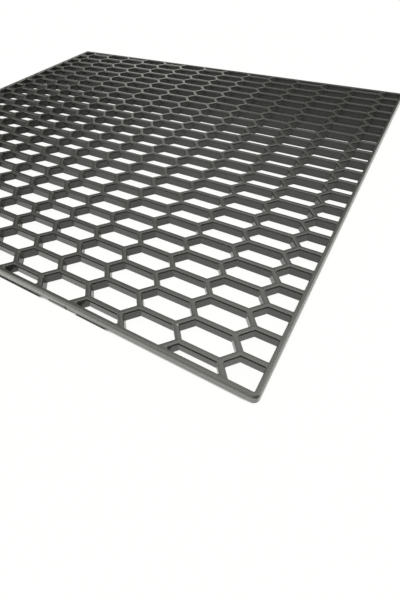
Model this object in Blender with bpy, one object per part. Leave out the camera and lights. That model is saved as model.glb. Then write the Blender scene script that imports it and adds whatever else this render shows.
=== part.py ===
# Honeycomb grille mesh: a flat panel of black ABS, injection moulded in one piece, that is
# trimmed to size and fixed behind the air opening of a bumper or a bonnet. Long hexagonal
# openings stand in columns, each column half a cell out of step with the next, and a plain
# rim closes all four sides, so the openings along it are cut short.
#
# The panel lies on its underside. The origin is the middle of the underside, X runs along
# the front rim, Y away from it and Z up. Lengths are in metres.

import math

import bmesh
import bpy
from mathutils import Vector

# The pattern of openings.
COLUMN_PITCH = 0.0220   # along X, from one column of openings to the next
ROW_PITCH = 0.0122      # along Y, from one opening to the next in a column
COLUMNS = 14            # pitches between the two end columns; even, so that both ends match
ROWS = 22               # pitches from the front end of the pattern to the far end
FLAT_SIDE = 0.0167      # long flat side of a cell, between the middles of the ribs
RIB_WIDTH = 0.0025      # rib between two openings, at the top face

# The panel and its rim.
THICKNESS = 0.0044
RIM_WIDTH = 0.0024          # from the wall of the openings to the panel's outside
SIDE_RIM_OFFSET = 0.0016    # side rim's inner wall, outwards of the end column's middle
END_RIM_OFFSET = 0.0014     # front and far rims' inner wall, inwards of the pattern's end
CORNER_RADIUS = 0.0025      # the panel's four corners, seen from above
TOP_EDGE_RADIUS = 0.0011    # outer edge of the top face
BOTTOM_EDGE_RADIUS = 0.0003
DRAFT = math.radians(1.5)   # lean of every wall, so that the moulding leaves its tool

# The mark of the film gate, trimmed off by hand on the front rim's outer side.
GATE_FROM_RIGHT = 0.0906    # from the panel's right-hand side to the middle of the mark
GATE_LENGTH = 0.0107
GATE_HEIGHT = 0.0007
GATE_PROUD = 0.0003         # how far the trimmed face stands out of the rim's side

# Fineness of the rounded stretches.
CORNER_STEPS = 6
TOP_EDGE_STEPS = 3
BOTTOM_EDGE_STEPS = 2

# The finish: satin black ABS, which reads as a very dark warm grey.
ABS_COLOUR = (0.060, 0.060, 0.056, 1.0)
ABS_ROUGHNESS = 0.38

# Sizes that follow from those above.
POINT_TO_POINT = 2 * COLUMN_PITCH - FLAT_SIDE
SLANT = (POINT_TO_POINT - FLAT_SIDE) / ROW_PITCH    # sideways run of a slanting side per unit of Y
RIM_WALL_X = COLUMNS * COLUMN_PITCH / 2 + SIDE_RIM_OFFSET
RIM_WALL_Y = ROWS * ROW_PITCH / 2 - END_RIM_OFFSET
HALF_LENGTH = RIM_WALL_X + RIM_WIDTH
HALF_DEPTH = RIM_WALL_Y + RIM_WIDTH
CUT_MARGIN = THICKNESS / 4      # how far a cutter reaches past the faces that it cuts


def clear_scene():
    """Remove the objects that Blender starts with."""
    for item in list(bpy.data.objects):
        bpy.data.objects.remove(item, do_unlink=True)


def abs_plastic():
    """Satin black ABS, used for the whole panel."""
    material = bpy.data.materials.new("black_abs")
    material.use_nodes = True
    shader = material.node_tree.nodes["Principled BSDF"]
    shader.inputs["Base Color"].default_value = ABS_COLOUR
    shader.inputs["Roughness"].default_value = ABS_ROUGHNESS
    shader.inputs["Metallic"].default_value = 0.0
    return material


def object_from(bm, name):
    """Turn a finished bmesh into an object of the scene."""
    bmesh.ops.recalc_face_normals(bm, faces=bm.faces)
    mesh = bpy.data.meshes.new(name)
    bm.to_mesh(mesh)
    bm.free()
    item = bpy.data.objects.new(name, mesh)
    bpy.context.collection.objects.link(item)
    return item


def tool_from(bm, name):
    """A body that only cuts or adds to the panel, and isn't part of the model itself."""
    tool = object_from(bm, name)
    tool.display_type = "WIRE"
    tool.hide_render = True
    return tool


def rounded_rectangle(half_length, half_depth, radius):
    """Outline of the panel seen from above, anticlockwise, with an arc at each corner."""
    points = []
    for quarter in range(4):
        start = quarter * math.pi / 2
        middle_x = math.copysign(half_length - radius, math.cos(start + math.pi / 4))
        middle_y = math.copysign(half_depth - radius, math.sin(start + math.pi / 4))
        for step in range(CORNER_STEPS + 1):
            angle = start + step / CORNER_STEPS * math.pi / 2
            points.append((middle_x + radius * math.cos(angle), middle_y + radius * math.sin(angle)))
    return points


def panel_blank():
    """The panel before its openings: a drafted plate with rounded outer edges."""
    bm = bmesh.new()
    outline = rounded_rectangle(HALF_LENGTH, HALF_DEPTH, CORNER_RADIUS)
    underside = bm.faces.new([bm.verts.new((x, y, 0.0)) for x, y in outline])
    raised = bmesh.ops.extrude_face_region(bm, geom=[underside])["geom"]
    top_corners = [part for part in raised if isinstance(part, bmesh.types.BMVert)]
    lean = THICKNESS * math.tan(DRAFT)
    taper = (1 - lean / HALF_LENGTH, 1 - lean / HALF_DEPTH, 1.0)
    bmesh.ops.translate(bm, verts=top_corners, vec=(0.0, 0.0, THICKNESS))
    bmesh.ops.scale(bm, verts=top_corners, vec=taper)

    round_edges(bm, THICKNESS, TOP_EDGE_RADIUS, TOP_EDGE_STEPS)
    round_edges(bm, 0.0, BOTTOM_EDGE_RADIUS, BOTTOM_EDGE_STEPS)
    return object_from(bm, "honeycomb_panel")


def round_edges(bm, height, radius, steps):
    """Round the outline edges that lie at one height."""
    flush = THICKNESS / 1000
    outline = [edge for edge in bm.edges if all(abs(end.co.z - height) < flush for end in edge.verts)]
    bmesh.ops.bevel(bm, geom=outline, offset=radius, offset_type="OFFSET", segments=steps,
                    profile=0.5, affect="EDGES")


def trim(outline, axis, limit, side):
    """The stretch of a convex outline that lies inside one straight rim wall.

    axis is 0 for a wall across X and 1 for one across Y. side is 1 where the panel's middle
    lies below the limit, and -1 where it lies above.
    """
    kept = []
    for here, after in zip(outline, outline[1:] + outline[:1]):
        room_here = side * (limit - here[axis])
        room_after = side * (limit - after[axis])
        if room_here > 0:
            kept.append(here)
        if room_here * room_after < 0:
            kept.append(here.lerp(after, room_here / (room_here - room_after)))
    return kept


def opening_outline(middle, height):
    """One opening at a height above the underside, cut short where it meets a rim."""
    lean = (THICKNESS - height) * math.tan(DRAFT)
    wall = RIB_WIDTH / 2 + lean
    half_height = ROW_PITCH / 2 - wall
    point = POINT_TO_POINT / 2 - wall * math.hypot(1.0, SLANT)
    flat_end = point - SLANT * half_height
    hexagon = [Vector((point, 0.0)), Vector((flat_end, half_height)), Vector((-flat_end, half_height)),
               Vector((-point, 0.0)), Vector((-flat_end, -half_height)), Vector((flat_end, -half_height))]
    outline = [middle + corner for corner in hexagon]
    for side in (1, -1):
        outline = trim(outline, 0, side * (RIM_WALL_X - lean), side)
        outline = trim(outline, 1, side * (RIM_WALL_Y - lean), side)
    return outline


def opening_middles():
    """Middle of every cell: odd columns stand half a row lower than even ones."""
    for column in range(COLUMNS + 1):
        x = (column - COLUMNS / 2) * COLUMN_PITCH
        first_row = 0.5 if column % 2 == 0 else 0.0
        for row in range(ROWS + column % 2):
            yield Vector((x, (row + first_row - ROWS / 2) * ROW_PITCH))


def opening_cutters():
    """All the openings as one body of tapered plugs that reach right through the panel."""
    bm = bmesh.new()
    for middle in opening_middles():
        rings = []
        for height in (-CUT_MARGIN, THICKNESS + CUT_MARGIN):
            outline = opening_outline(middle, height)
            rings.append([bm.verts.new((corner.x, corner.y, height)) for corner in outline])
        lower, upper = rings
        bm.faces.new(lower[::-1])
        bm.faces.new(upper)
        for start in range(len(lower)):
            end = (start + 1) % len(lower)
            bm.faces.new((lower[start], lower[end], upper[end], upper[start]))
    return tool_from(bm, "opening_cutters")


def gate_mark():
    """The trimmed stub of the gate, a low block sunk into the front rim's outer side."""
    bm = bmesh.new()
    block = bmesh.ops.create_cube(bm, size=1.0)["verts"]
    sunk = RIM_WIDTH / 2
    bmesh.ops.scale(bm, verts=block, vec=(GATE_LENGTH, GATE_PROUD + sunk, GATE_HEIGHT))
    middle_y = -HALF_DEPTH + (sunk - GATE_PROUD) / 2
    bmesh.ops.translate(bm, verts=block, vec=(HALF_LENGTH - GATE_FROM_RIGHT, middle_y, GATE_HEIGHT / 2))
    return tool_from(bm, "gate_mark")


def combine(panel, tool, operation):
    """Join a tool to the panel, or cut it away, with a Boolean that stays live."""
    step = panel.modifiers.new(tool.name, "BOOLEAN")
    step.operation = operation
    step.solver = "EXACT"
    step.object = tool


def build():
    """Make the whole panel."""
    clear_scene()
    panel = panel_blank()
    panel.data.materials.append(abs_plastic())
    combine(panel, gate_mark(), "UNION")
    combine(panel, opening_cutters(), "DIFFERENCE")
    panel.data.shade_smooth()
    panel.data.set_sharp_from_angle(angle=math.radians(30.0))


build()
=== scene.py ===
# Honeycomb grille mesh: the finished look of the moulded panel, lying on a white studio floor
# and seen over its front right corner. Lengths are in metres, +Z is the panel's front face.

import math

import bmesh
import bpy
from mathutils import Matrix, Vector, geometry, noise


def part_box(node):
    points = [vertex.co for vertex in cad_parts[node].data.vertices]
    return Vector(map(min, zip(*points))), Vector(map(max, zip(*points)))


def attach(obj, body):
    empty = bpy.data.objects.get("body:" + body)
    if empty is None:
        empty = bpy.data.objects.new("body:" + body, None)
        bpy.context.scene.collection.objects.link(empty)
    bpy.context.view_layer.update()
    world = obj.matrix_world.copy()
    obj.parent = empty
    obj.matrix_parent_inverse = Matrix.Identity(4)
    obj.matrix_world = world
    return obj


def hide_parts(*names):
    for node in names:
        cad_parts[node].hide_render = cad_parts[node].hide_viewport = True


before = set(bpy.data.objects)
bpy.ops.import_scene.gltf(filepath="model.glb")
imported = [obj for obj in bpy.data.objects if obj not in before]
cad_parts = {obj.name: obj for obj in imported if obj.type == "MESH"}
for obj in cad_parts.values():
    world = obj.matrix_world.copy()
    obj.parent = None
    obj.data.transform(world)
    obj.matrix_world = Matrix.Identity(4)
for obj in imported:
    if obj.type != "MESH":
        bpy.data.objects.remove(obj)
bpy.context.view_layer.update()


# The panel: a flat grille of black ABS, injection moulded in one piece, with long hexagonal
# openings in staggered columns and a plain rim all round. Every wall leans by the mould's
# draft. The panel is fixed to nothing: it lies on its underside, slightly bowed.

COLUMN_PITCH = 0.0220       # along x, from one column of openings to the next
ROW_PITCH = 0.0122          # along y, from one opening to the next in a column
FLAT_SIDE = 0.0167          # long side of a cell, between the middles of the ribs
RIB_WIDTH = 0.0025          # at the top face
RIM_WIDTH = 0.0024          # at the underside
SIDE_RIM_OFFSET = 0.0016    # side rim's inner wall, outwards of the end column's middle
END_RIM_OFFSET = 0.0014     # front and far rims' inner wall, inwards of the pattern's end
DRAFT = math.radians(1.5)   # lean of every wall, so that the panel leaves its mould

PANEL_CORNER = 0.0025       # radius of the panel's four corners, seen from above
OPENING_CORNER = 0.0003     # the same in the corners of an opening
RIM_EDGE = 0.0011           # rounding of the rim's outer top edge
RIM_FOOT = 0.00045          # rounding of the rim's outer bottom edge
RIB_FOOT = 0.0001           # rounding of each opening's bottom edge
LEAD_IN_HEIGHT = 0.00065    # steep polished lead-in round the top of each opening
LEAD_IN_WIDTH = 0.0003
LEAD_IN_EDGE = 0.0001       # rounding of its upper edge
BEND_BACK = 0.00002         # start of the bend from the lead-in to the wall, back from the wall
BEND_ABOVE = 0.00004        # the same start, above the lead-in's foot
BEND_BELOW = 0.00006        # end of the bend, below that foot
CROWN = math.radians(11.0)  # how far the top of a rib has turned where it meets the lead-in

PANEL_CORNER_STEPS = 12     # fineness of the rounded stretches
OPENING_CORNER_STEPS = 2
RIM_EDGE_STEPS = 6
RIM_FOOT_STEPS = 4
RIB_FOOT_STEPS = 2
LEAD_IN_EDGE_STEPS = 3

BOW_HEIGHT = 0.00030        # the front rim's rise off the floor
BOW_START = 0.104           # along x, where the rise begins
BOW_FULL = 0.070            # where it is complete, from there to the left
BOW_REACH = 0.070           # along y, over which it falls to about a third

INSIDE_WITH_HOLES = 2       # the kind of triangulation that fills a face and leaves its openings
SAME_SPOT = 1e-9            # corners closer together than this count as one

POINT_TO_POINT = 2 * COLUMN_PITCH - FLAT_SIDE       # a cell's greatest length, along x
SLANT = (POINT_TO_POINT - FLAT_SIDE) / ROW_PITCH    # sideways run of a slanting side per unit of y

panel_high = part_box("honeycomb_panel")[1]
THICKNESS = panel_high.z
HALF_LENGTH = panel_high.x
HALF_DEPTH = panel_high.y
RIM_WALL_X = HALF_LENGTH - RIM_WIDTH
RIM_WALL_Y = HALF_DEPTH - RIM_WIDTH
COLUMNS = round(2 * (RIM_WALL_X - SIDE_RIM_OFFSET) / COLUMN_PITCH)
ROWS = round(2 * (RIM_WALL_Y + END_RIM_OFFSET) / ROW_PITCH)


def trim(outline, axis, limit, side):
    """The stretch of a convex outline that lies inside one straight rim wall."""
    kept = []
    for here, after in zip(outline, outline[1:] + outline[:1]):
        room_here = side * (limit - here[axis])
        room_after = side * (limit - after[axis])
        if room_here > 0:
            kept.append(here)
        if room_here * room_after < 0:
            kept.append(here.lerp(after, room_here / (room_here - room_after)))
    return kept


def opening_outline(middle, inset):
    """One opening at the top face, drawn in by an inset and cut short where it meets a rim."""
    wall = RIB_WIDTH / 2 + inset
    half_height = ROW_PITCH / 2 - wall
    point = POINT_TO_POINT / 2 - wall * math.hypot(1.0, SLANT)
    flat_end = point - SLANT * half_height
    half = [Vector((point, 0.0)), Vector((flat_end, half_height)), Vector((-flat_end, half_height))]
    outline = [middle + corner for corner in half] + [middle - corner for corner in half]
    for side in (1, -1):
        outline = trim(outline, 0, side * (RIM_WALL_X - inset), side)
        outline = trim(outline, 1, side * (RIM_WALL_Y - inset), side)
    return outline


def opening_middles():
    """Middle of every cell: every second column stands half a row lower."""
    for column in range(COLUMNS + 1):
        x = (column - COLUMNS / 2) * COLUMN_PITCH
        first_row = 0.5 if column % 2 == 0 else 0.0
        for row in range(ROWS + column % 2):
            yield Vector((x, (row + first_row - ROWS / 2) * ROW_PITCH))


def foot_levels(edge_height, foot, steps):
    """The lower part of a wall that starts at a height: its lean and the rounding at its foot. A
    level is how far it stands back from the wall's top, its height and how far it has turned."""
    lean = (edge_height - foot) * math.tan(DRAFT)
    levels = []
    for step in range(steps + 1):
        turn = (1 + step / steps) * math.pi / 2
        levels.append((foot * (1 - math.sin(turn)) - lean, foot * (1 + math.cos(turn)), turn))
    return levels


def rim_levels():
    """The rim's outer wall, from its large soft edge down. Its widest level stands at 0."""
    levels = []
    for step in range(RIM_EDGE_STEPS + 1):
        turn = step / RIM_EDGE_STEPS * math.pi / 2
        levels.append((RIM_EDGE * (1 - math.sin(turn)), THICKNESS - RIM_EDGE * (1 - math.cos(turn)), turn))
    levels += foot_levels(THICKNESS - RIM_EDGE, RIM_FOOT, RIM_FOOT_STEPS)
    widest = min(back for back, height, turn in levels)
    return [(back - widest, height, turn) for back, height, turn in levels]


def opening_levels():
    """An opening's wall: the small upper edge, the steep lead-in and the wall below it."""
    steep = math.pi / 2 - math.atan2(LEAD_IN_WIDTH, LEAD_IN_HEIGHT)
    levels = []
    for step in range(LEAD_IN_EDGE_STEPS + 1):
        turn = CROWN + step / LEAD_IN_EDGE_STEPS * (steep - CROWN)
        levels.append((LEAD_IN_WIDTH + LEAD_IN_EDGE * (math.tan(steep / 2) - math.sin(turn)),
                       THICKNESS - LEAD_IN_EDGE * (1 - math.cos(turn)), turn))
    low = THICKNESS - LEAD_IN_HEIGHT
    levels.append((BEND_BACK, low + BEND_ABOVE, steep))
    levels.append((0.0, low - BEND_BELOW, math.pi / 2))
    return levels + foot_levels(low, RIB_FOOT, RIB_FOOT_STEPS)


def wall_rings(bm, normals, centres, radius, corner_steps, levels, solid_side):
    """Skin one closed wall round the centres of its corner arcs. solid_side is 1 for an opening,
    which has the plastic outside its wall, and -1 for the rim, which has it inside."""
    spokes = []
    for before, here, after in zip(centres[-1:] + centres[:-1], centres, centres[1:] + centres[:1]):
        run_in = here - before
        run_out = after - here
        start = math.atan2(-run_in.x, run_in.y)
        sweep = -run_in.angle_signed(run_out)
        for step in range(corner_steps + 1):
            angle = start + sweep * step / corner_steps
            spokes.append((here, Vector((math.cos(angle), math.sin(angle)))))
    rings = []
    for back, height, turn in levels:
        ring = []
        for centre, outward in spokes:
            spot = centre + outward * (radius + solid_side * back)
            ring.append(bm.verts.new((spot.x, spot.y, height)))
            facing = -solid_side * math.sin(turn) * outward
            normals.append((facing.x, facing.y, math.cos(turn)))
        rings.append(ring)
    for upper, lower in zip(rings, rings[1:]):
        for start in range(len(upper)):
            end = (start + 1) % len(upper)
            bm.faces.new((upper[start], upper[end], lower[end], lower[start]))
    return rings[0], rings[-1]


def bow(x, y):
    """How far the panel, which isn't quite flat, stands off the floor: most along its front rim,
    with a smooth rise along x and a slow fall along y."""
    share = min(1.0, max(0.0, (BOW_START - x) / (BOW_START - BOW_FULL)))
    return BOW_HEIGHT * share * share * (3 - 2 * share) * math.exp(-(y + HALF_DEPTH) / BOW_REACH)


def fill_between(bm, outlines):
    """Close one flat face of the panel between the outlines of the rim and of all openings."""
    corners = [vert for outline in outlines for vert in outline]
    rings = []
    first = 0
    for outline in outlines:
        rings.append(list(range(first, first + len(outline))))
        first += len(outline)
    flat = [corner.co.xy for corner in corners]
    filled = geometry.delaunay_2d_cdt(flat, [], rings, INSIDE_WITH_HOLES, SAME_SPOT)
    faces, source = filled[2:4]
    for face in faces:
        bm.faces.new([corners[source[point][0]] for point in face])


def smooth_object(bm, name):
    """Turn a finished bmesh into a smooth object of the scene."""
    mesh = bpy.data.meshes.new(name)
    bm.to_mesh(mesh)
    bm.free()
    mesh.shade_smooth()
    item = bpy.data.objects.new(name, mesh)
    bpy.context.collection.objects.link(item)
    return item


def moulded_panel():
    """The whole skin of the panel, with exact normals, so that its flat faces stay flat."""
    bm = bmesh.new()
    normals = []
    ends = []
    levels = opening_levels()
    for middle in opening_middles():
        centres = opening_outline(middle, OPENING_CORNER)
        ends.append(wall_rings(bm, normals, centres, OPENING_CORNER, OPENING_CORNER_STEPS, levels, 1))
    inner_x = HALF_LENGTH - PANEL_CORNER
    inner_y = HALF_DEPTH - PANEL_CORNER
    centres = [Vector((inner_x, inner_y)), Vector((-inner_x, inner_y)),
               Vector((-inner_x, -inner_y)), Vector((inner_x, -inner_y))]
    ends.append(wall_rings(bm, normals, centres, PANEL_CORNER, PANEL_CORNER_STEPS, rim_levels(), -1))
    # The upper ends of all walls bound the top face, and their lower ends the underside.
    for outlines in zip(*ends):
        fill_between(bm, outlines)
    bmesh.ops.recalc_face_normals(bm, faces=bm.faces)
    for corner in bm.verts:
        corner.co.z += bow(corner.co.x, corner.co.y)
    item = smooth_object(bm, "moulded_panel")
    item.data.normals_split_custom_set_from_vertices(normals)
    return item


class Socket:
    """One output of a node, so that shader sums can be written as plain expressions."""

    def __init__(self, tree, output=None):
        self.tree = tree
        self.output = output

    def node(self, kind, settings, values):
        """Add any other node: its settings first, then the values or links of its sockets."""
        made = self.tree.nodes.new("ShaderNode" + kind)
        for name, setting in settings.items():
            setattr(made, name, setting)
        for name, value in values.items():
            if isinstance(value, Socket):
                self.tree.links.new(value.output, made.inputs[name])
            else:
                made.inputs[name].default_value = value
        return Socket(self.tree, made.outputs[0] if made.outputs else None)

    def __getitem__(self, name):
        """Another output of the same node."""
        return Socket(self.tree, self.output.node.outputs[name])

    def math(self, operation, *values):
        """One step of arithmetic on sockets or plain numbers."""
        return self.node("Math", {"operation": operation}, dict(enumerate(values)))

    def __add__(self, other):
        return self.math("ADD", self, other)

    def __sub__(self, other):
        return self.math("SUBTRACT", self, other)

    def __rsub__(self, other):
        return self.math("SUBTRACT", other, self)

    def __mul__(self, other):
        return self.math("MULTIPLY", self, other)

    __radd__ = __add__
    __rmul__ = __mul__

    def between(self, low, high):
        """0 below low, 1 above high, and a smooth rise from one to the other."""
        limits = {"interpolation_type": "SMOOTHSTEP"}
        return self.node("MapRange", limits, {"Value": self, "From Min": low, "From Max": high})


def new_material(name):
    """An empty material, and the start of its tree of nodes."""
    material = bpy.data.materials.new(name)
    material.use_nodes = True
    material.node_tree.nodes.clear()
    return material, Socket(material.node_tree)


# Black ABS as it leaves the mould: satin on the faces, where the steel was finely blasted, and
# glossier on the walls, which slide out of polished steel.

ABS_BLACK = (0.0340, 0.0349, 0.0312, 1.0)
ABS_RUBBED = (0.0490, 0.0502, 0.0454, 1.0)
EDGE_HIGHLIGHT = (0.1200, 0.1220, 0.1110, 1.0)        # painted highlight all round the outside, for the glossy reflection of the floor
FRONT_EDGE_HIGHLIGHT = (0.2100, 0.2130, 0.1920, 1.0)     # the front rim's edge to the left, painted palest as a highlight
SCRATCH_SHADE = (0.004, 0.004, 0.004, 1.0)           # painted shade in the depth of the scratch and the nick
STRESS_WHITE = (0.40, 0.40, 0.36, 1.0)          # where the plastic was bent or squeezed
DUST = (0.26, 0.26, 0.24, 1.0)
EDGE_START = 0.0009         # in from the outside, where the painted edge highlight begins
EDGE_FULL = 0.0001          # and where it is palest
FRONT_HIGHLIGHT_FULL = 0.040          # along x, where the painted front highlight starts to fade
FRONT_HIGHLIGHT_END = 0.100           # and where it ends

GRAIN_SCALE = 1900.0        # spots per metre, as in the scales below
MOTTLE_SCALE = 480.0
WAVE_SCALE = 70.0
DRAWN_SCALE = 1300.0        # lines down the walls, drawn out along z
DRAWN_STRETCH = (1.0, 1.0, 0.06)
NOISE_MEAN = 0.5
MOTTLE_RUBS = (0.35, 0.80)  # the values of the mottle at which the rubbing starts and is full
GRAIN_RUBS = (0.4, 0.8)
MOTTLE_RUB_SHARE = 0.55     # how much of the rubbing comes from the mottle
GRAIN_RUB_SHARE = 0.25
CRUMB_SCALE = 95.0          # cells per metre, each with one grain of dust or none
CRUMB_SIZE = (0.012, 0.026)     # in cells from the middle, where a grain is full and where it ends
CRUMB_CHANCE = (0.72, 0.74)     # a cell holds a grain where its own number is above these
CRUMB_COVER = 0.7

FACE_TILT = (0.55, 0.95)    # the normal's part along z, from a wall's to a face's
FACE_ROUGHNESS = 0.29
WALL_ROUGHNESS = 0.22
MOTTLE_ROUGHNESS = 0.12     # how far the mottle, the drawn lines and the dust change it
DRAWN_ROUGHNESS = 0.08
CRUMB_ROUGHNESS = 0.3
GLOSS_LEVEL = 0.75
WAVE_DEPTH = 0.00007        # depths of the relief
MOTTLE_DEPTH = 0.000007
GRAIN_DEPTH = 0.000004
DRAWN_DEPTH = 0.000004
SCRATCH_DEPTH = 0.00025

# Flaws of this panel, each as its middle and its reach along x, y and z: a bruised corner where
# ribs meet, a scratch and its burr, and a nick in the front rim's side beside the gate mark. The
# scratch and the nick are painted near black, as the shade in their depth.
BRUISE = ((0.11960, -0.12238, 0.0043), (0.00045, 0.00035, 0.0006))
SCRATCH = ((0.09960, 0.01720, 0.0044), (0.0013, 0.0007, 0.0006))
BURR = ((0.10200, 0.01665, 0.0044), (0.0011, 0.0005, 0.0006))
NICK = ((0.07265, -0.1352, 0.0008), (0.0006, 0.0015, 0.0022))
BURR_SHARE = 0.6
FLAW_CORE = 0.3             # share of its reach over which a flaw is at its full strength


def flaw(place, middle, reach):
    """1 in the middle of a small flaw, falling to 0 at its reach along x, y and z."""
    away = place.node("VectorMath", {"operation": "SUBTRACT"}, {0: place, 1: middle})
    share = away.node("VectorMath", {"operation": "DIVIDE"}, {0: away, 1: reach})
    length = share.node("VectorMath", {"operation": "LENGTH"}, {0: share})["Value"]
    return 1 - length.between(FLAW_CORE, 1.0)


def over(below, above, share):
    """One colour laid over another, as far as share says."""
    return share.node("Mix", {"data_type": "RGBA"}, {"Factor": share, "A": below, "B": above})["Result"]


def abs_material(name):
    """Black ABS with the grain of its faces, drawn walls, slight waves, rubbing and dust."""
    material, start = new_material(name)
    place = start.node("TexCoord", {}, {})["Object"]
    grain = start.node("TexNoise", {}, {"Vector": place, "Scale": GRAIN_SCALE, "Detail": 2.0})
    mottle = start.node("TexNoise", {}, {"Vector": place, "Scale": MOTTLE_SCALE, "Detail": 3.0})
    waves = start.node("TexNoise", {}, {"Vector": place, "Scale": WAVE_SCALE, "Detail": 1.0})
    along = start.node("VectorMath", {"operation": "MULTIPLY"}, {0: place, 1: DRAWN_STRETCH})
    drawn = start.node("TexNoise", {}, {"Vector": along, "Scale": DRAWN_SCALE, "Detail": 2.0})
    crumbs = start.node("TexVoronoi", {}, {"Vector": place, "Scale": CRUMB_SCALE})
    chance = start.node("SeparateColor", {}, {"Color": crumbs["Color"]})["Red"]

    normal = start.node("NewGeometry", {}, {})["Normal"]
    face = start.node("SeparateXYZ", {}, {0: normal})["Z"].between(*FACE_TILT)
    wall = 1 - face

    rubbed = mottle.between(*MOTTLE_RUBS) * MOTTLE_RUB_SHARE + grain.between(*GRAIN_RUBS) * GRAIN_RUB_SHARE
    colour = over(ABS_BLACK, ABS_RUBBED, rubbed)
    spot = start.node("SeparateXYZ", {}, {0: place})
    # Painted highlight: the rim's outer edge and side are coloured paler, standing in for their glossy
    # reflection of the bright floor.
    across = spot.math("ABSOLUTE", spot["X"]).between(HALF_LENGTH - EDGE_START, HALF_LENGTH - EDGE_FULL)
    deep = spot.math("ABSOLUTE", spot["Y"]).between(HALF_DEPTH - EDGE_START, HALF_DEPTH - EDGE_FULL)
    colour = over(colour, EDGE_HIGHLIGHT, spot.math("MAXIMUM", across, deep))
    # Painted highlight, paler still along the left of the front rim's edge, for the brighter reflection in
    # its side there.
    front = 1 - spot["Y"].between(-HALF_DEPTH / 2, HALF_DEPTH / 2)
    front_highlight = deep * (1 - spot["X"].between(FRONT_HIGHLIGHT_FULL, FRONT_HIGHLIGHT_END)) * front
    colour = over(colour, FRONT_EDGE_HIGHLIGHT, front_highlight)
    dust = (1 - crumbs.between(*CRUMB_SIZE)) * chance.between(*CRUMB_CHANCE) * CRUMB_COVER
    colour = over(colour, DUST, dust)
    colour = over(colour, STRESS_WHITE, flaw(place, *BRUISE))
    colour = over(colour, STRESS_WHITE, flaw(place, *BURR) * BURR_SHARE)
    # Painted shade: the scratch and the nick are coloured near black for the shade in their depth, and the
    # same mask sinks their relief.
    scratch_and_shade = flaw(place, *SCRATCH) + flaw(place, *NICK)
    colour = over(colour, SCRATCH_SHADE, scratch_and_shade)

    roughness = wall * WALL_ROUGHNESS + face * FACE_ROUGHNESS + (mottle - NOISE_MEAN) * MOTTLE_ROUGHNESS
    roughness = roughness + (drawn - NOISE_MEAN) * wall * DRAWN_ROUGHNESS + dust * CRUMB_ROUGHNESS
    relief = waves * WAVE_DEPTH + mottle * MOTTLE_DEPTH + grain * face * GRAIN_DEPTH
    relief = relief + drawn * wall * DRAWN_DEPTH - scratch_and_shade * SCRATCH_DEPTH
    bump = start.node("Bump", {}, {"Strength": 1.0, "Distance": 1.0, "Height": relief})
    plastic = start.node("BsdfPrincipled", {}, {
        "Base Color": colour, "Roughness": roughness, "Specular IOR Level": GLOSS_LEVEL, "Normal": bump})
    start.node("OutputMaterial", {}, {"Surface": plastic})
    return material


panel = moulded_panel()
panel.data.materials.append(abs_material("satin_black_abs"))
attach(panel, "root")
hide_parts("honeycomb_panel")


# The gate mark: the stub of the film gate through which the plastic was shot, nipped off by
# hand at the foot of the front rim. It is a thin torn lip of the same ABS, part of the panel.

GATE_START = 0.0620         # along x, from the panel's middle
GATE_END = 0.0727
GATE_PROUD = 0.00022        # how far the lip stands out of the rim's side
GATE_HEIGHT = 0.00120

LIP_STEP = 0.00035          # along a lip, between two of its rings
LIP_SUNK = 0.0009           # how far it reaches back into the rim
LIP_FOOT = 0.00001          # height of its underside
LIP_TURN = math.radians(35.0)   # edges that turn further stay sharp
# Its upper side, from the outer edge back to the rim, as shares of its reach and its height.
LIP_PROFILE = [(1.0, 0.80), (0.8, 1.0), (0.4, 0.95), (0.0, 0.60)]
TEAR = 0.28                 # how far the tear changes its reach
TEAR_SCALE = 900
TEAR_SHIFT = 9000           # makes lips that stand out by different lengths tear differently
CHIP = 0.00003              # how uneven its surface is
CHIP_SCALE = 4000
END_SHARE = 0.55            # share of its reach that is left at its two ends
END_RINGS = 2               # over which it grows to the full reach
HEIGHT_KEPT = 0.6           # share of its height that neither the tear nor the ends change


def torn_lip(name, start_x, end_x, proud, height):
    """A low lip along the foot of the front rim, higher at its outer edge, with a torn surface."""
    section = [(-LIP_SUNK, LIP_FOOT), (proud, LIP_FOOT)]
    section += [(out * proud, up * height) for out, up in LIP_PROFILE]
    section.append((-LIP_SUNK, section[-1][1]))
    bm = bmesh.new()
    stations = round((end_x - start_x) / LIP_STEP)
    rings = []
    for station in range(stations + 1):
        x = start_x + (end_x - start_x) * station / stations
        tear = 1 + TEAR * noise.noise(Vector((x * TEAR_SCALE, proud * TEAR_SHIFT, 0.0)))
        from_end = min(station, stations - station)
        grown = min(1.0, END_SHARE + (1 - END_SHARE) * from_end / END_RINGS)
        tear_height = HEIGHT_KEPT + (1 - HEIGHT_KEPT) * tear
        grown_height = HEIGHT_KEPT + (1 - HEIGHT_KEPT) * grown
        ring = []
        for out, up in section:
            chip = CHIP * noise.noise(Vector((x * CHIP_SCALE, out * CHIP_SCALE, up * CHIP_SCALE)))
            y = -HALF_DEPTH - max(out, 0) * tear * grown - min(out, 0) - chip
            ring.append(bm.verts.new((x, y, up * tear_height * grown_height)))
        rings.append(ring)
    for before, after in zip(rings, rings[1:]):
        for low in range(len(section)):
            high = (low + 1) % len(section)
            bm.faces.new((before[low], after[low], after[high], before[high]))
    bm.faces.new(rings[0])
    bm.faces.new(rings[-1][::-1])
    bmesh.ops.recalc_face_normals(bm, faces=bm.faces)
    lip = smooth_object(bm, name)
    lip.data.set_sharp_from_angle(angle=LIP_TURN)
    lip.data.materials.append(panel.data.materials[0])
    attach(lip, "root")


torn_lip("gate_mark", GATE_START, GATE_END, GATE_PROUD, GATE_HEIGHT)


# The flash: a second, lower lip of the same ABS, where plastic crept out beside the gate. It is
# torn like the gate mark and starts past the nick at its end.

FLASH_START = 0.0731        # along x, from the panel's middle
FLASH_END = 0.0768
FLASH_PROUD = 0.00012       # how far the lip stands out of the rim's side
FLASH_HEIGHT = 0.00080

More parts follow.
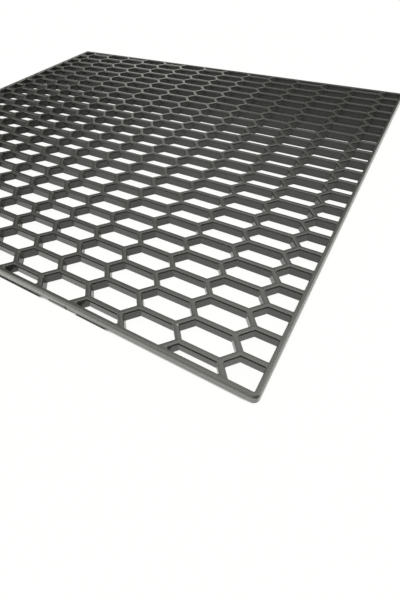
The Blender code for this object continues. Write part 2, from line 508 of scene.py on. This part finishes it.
torn_lip("gate_flash", FLASH_START, FLASH_END, FLASH_PROUD, FLASH_HEIGHT)


# The studio: a white paper floor in a tent with large soft lamps overhead and lower ones to the
# right, at the back and at the front left. The tent is dark between its lamps, so that the
# panel's edges draw dark lines, but the camera itself sees it as plain white.

# Each lamp, as its azimuth and elevation, the angles from its middle at which its light starts
# to fade and is gone, all in degrees, and its radiance.
LAMPS = [
    (30, 62, 10, 34, 1.25), (90, 62, 10, 34, 1.57), (150, 62, 10, 34, 0.63),
    (210, 62, 10, 34, 1.88), (270, 62, 10, 34, 0.50), (330, 62, 10, 34, 0.38),
    (-110, 30, 10, 30, 0.81), (-160, 30, 10, 30, 0.88), (33, 30, 10, 30, 0.85), (125, 30, 10, 30, 0.20),
    (-145, 10, 8, 26, 1.0), (33, 10, 8, 26, 3.3), (66, 10, 8, 26, 2.2), (125, 10, 4, 16, 1.4)]
LAMP_COLOUR = (1.0, 1.0, 0.955, 1.0)
TENT_GLOW = 0.01            # radiance of the tent between its lamps
FLOOR_SIDE = 6.0
FLOOR_GAP = 0.00002         # between the floor and the panel's underside
PAPER_WHITE = (0.96, 0.96, 0.985, 1.0)
PAPER_DIM = (0.38, 0.38, 0.39, 1.0)     # under the panel, far from the best lit spot
SEEN_WHITE = (1.0, 1.0, 0.985, 1.0)
SEEN_SHARE = 0.95           # of the floor that looks plain white, while the rest keeps the shadow
MIRRORED_SHARE = 1.0        # the same where the plastic mirrors the floor
LIT_MIDDLE = (0.095, -0.100, 0.0)       # the best lit spot of the floor
LIT_NEAR = 0.03             # from that spot, where the paper under the panel starts to dim
LIT_FAR = 0.20              # and where it is dimmest
FOOT_SHADE = (0.06, 0.06, 0.06, 1.0)
FOOT_SHADE_FADE = 0.00040   # over which the shade at the front rim's foot dies away outwards
FOOT_SHADE_START = 0.001    # along x, over which a stretch of it sets in, to each side of its start
FOOT_SHADE_END = 0.006      # over which it dies away, before its end
# Each stretch of it, as its start and end along x, its reach out from the rim and its depth. One
# runs along the whole rim, and the two deep ones up to the gate mark and on from the flash.
FOOT_SHADES = [(-HALF_LENGTH, HALF_LENGTH, 0.00045, 0.6), (0.0, 0.0616, 0.00080, 1.0),
               (0.0772, 0.0985, 0.00062, 1.0)]


half = FLOOR_SIDE / 2
floor_mesh = bpy.data.meshes.new("studio_floor")
floor_mesh.from_pydata([(-half, -half, -FLOOR_GAP), (half, -half, -FLOOR_GAP),
                        (half, half, -FLOOR_GAP), (-half, half, -FLOOR_GAP)], [], [(0, 1, 2, 3)])
floor = bpy.data.objects.new("studio_floor", floor_mesh)
bpy.context.collection.objects.link(floor)

floor_material, start = new_material("white_paper")
place = start.node("TexCoord", {}, {})["Object"]
spot = start.node("SeparateXYZ", {}, {0: place})
shade = 0.0
for left, right, reach, depth in FOOT_SHADES:
    begun = spot["X"].between(left - FOOT_SHADE_START, left + FOOT_SHADE_START)
    ended = spot["X"].between(right - FOOT_SHADE_END, right)
    beside = spot["Y"].between(-HALF_DEPTH - reach, -HALF_DEPTH - reach + FOOT_SHADE_FADE)
    shade = spot.math("MAXIMUM", begun * (1 - ended) * beside * depth, shade)
shade = shade * (1 - spot["Y"].between(-HALF_DEPTH + RIM_FOOT, -HALF_DEPTH + 2 * RIM_FOOT))
away = start.node("VectorMath", {"operation": "DISTANCE"}, {0: place, 1: LIT_MIDDLE})["Value"]
beyond = spot.math("MAXIMUM", spot.math("ABSOLUTE", spot["X"]) - HALF_LENGTH,
                   spot.math("ABSOLUTE", spot["Y"]) - HALF_DEPTH)
dim = away.between(LIT_NEAR, LIT_FAR) * (1 - beyond.between(-RIM_WIDTH, 0.0))
paper_colour = over(over(PAPER_WHITE, PAPER_DIM, dim), FOOT_SHADE, shade)
paper = start.node("BsdfDiffuse", {}, {"Color": paper_colour})
shine = start.node("Emission", {}, {"Color": SEEN_WHITE, "Strength": 1.0})
path = start.node("LightPath", {}, {})
mirrored = (path["Is Glossy Ray"] + path["Is Transmission Ray"]) * (1 - dim)
seen = path["Is Camera Ray"] * SEEN_SHARE + mirrored * MIRRORED_SHARE
mixed = start.node("MixShader", {}, {0: seen * (1 - shade), 1: paper, 2: shine})
start.node("OutputMaterial", {}, {"Surface": mixed})
floor_mesh.materials.append(floor_material)

world = bpy.data.worlds.new("light_tent")
bpy.context.scene.world = world
world.use_nodes = True
world.node_tree.nodes.clear()
start = Socket(world.node_tree)
direction = start.node("TexCoord", {}, {})["Generated"]


def glow(azimuth, elevation, near, far, radiance):
    """The light of one lamp: full up to near degrees from its middle, gone at far."""
    turned = math.radians(azimuth)
    raised = math.radians(elevation)
    middle = (math.cos(turned) * math.cos(raised), math.sin(turned) * math.cos(raised), math.sin(raised))
    facing = direction.node("VectorMath", {"operation": "DOT_PRODUCT"}, {0: direction, 1: middle})["Value"]
    return facing.between(math.cos(math.radians(far)), math.cos(math.radians(near))) * radiance


light = 0.0
for lamp in LAMPS:
    light = glow(*lamp) + light
light = light + TENT_GLOW
tent = start.node("Background", {}, {"Color": LAMP_COLOUR, "Strength": light})
backdrop = start.node("Background", {}, {"Color": SEEN_WHITE, "Strength": 1.0})
path = start.node("LightPath", {}, {})
mixed = start.node("MixShader", {}, {0: path["Is Camera Ray"], 1: tent, 2: backdrop})
start.node("OutputWorld", {}, {"Surface": mixed})


# The camera: over the panel's front right corner and close to it, so that the pattern runs away
# to the left and to the back.

FILM = 36.0                 # in millimetres, over the picture's long side
LENS = 19.940
NEAREST = 0.01              # nothing in view is nearer
CAMERA_TARGET = (0.12111, -0.10805, THICKNESS)
CAMERA_AWAY = 0.13220
CAMERA_AZIMUTH = 33.144
CAMERA_ELEVATION = 50.841
CAMERA_ROLL = -4.314

camera_data = bpy.data.cameras.new("camera")
camera_data.sensor_width = FILM
camera_data.lens = LENS
camera_data.clip_start = NEAREST
camera = bpy.data.objects.new("camera", camera_data)
turn = (Matrix.Rotation(math.radians(CAMERA_AZIMUTH), 4, "Z")
        @ Matrix.Rotation(math.radians(90 - CAMERA_ELEVATION), 4, "X")
        @ Matrix.Rotation(math.radians(CAMERA_ROLL), 4, "Z"))
camera.matrix_world = Matrix.Translation(CAMERA_TARGET) @ turn @ Matrix.Translation((0.0, 0.0, CAMERA_AWAY))
bpy.context.collection.objects.link(camera)
bpy.context.scene.camera = camera
bpy.context.scene.view_settings.view_transform = "Standard"
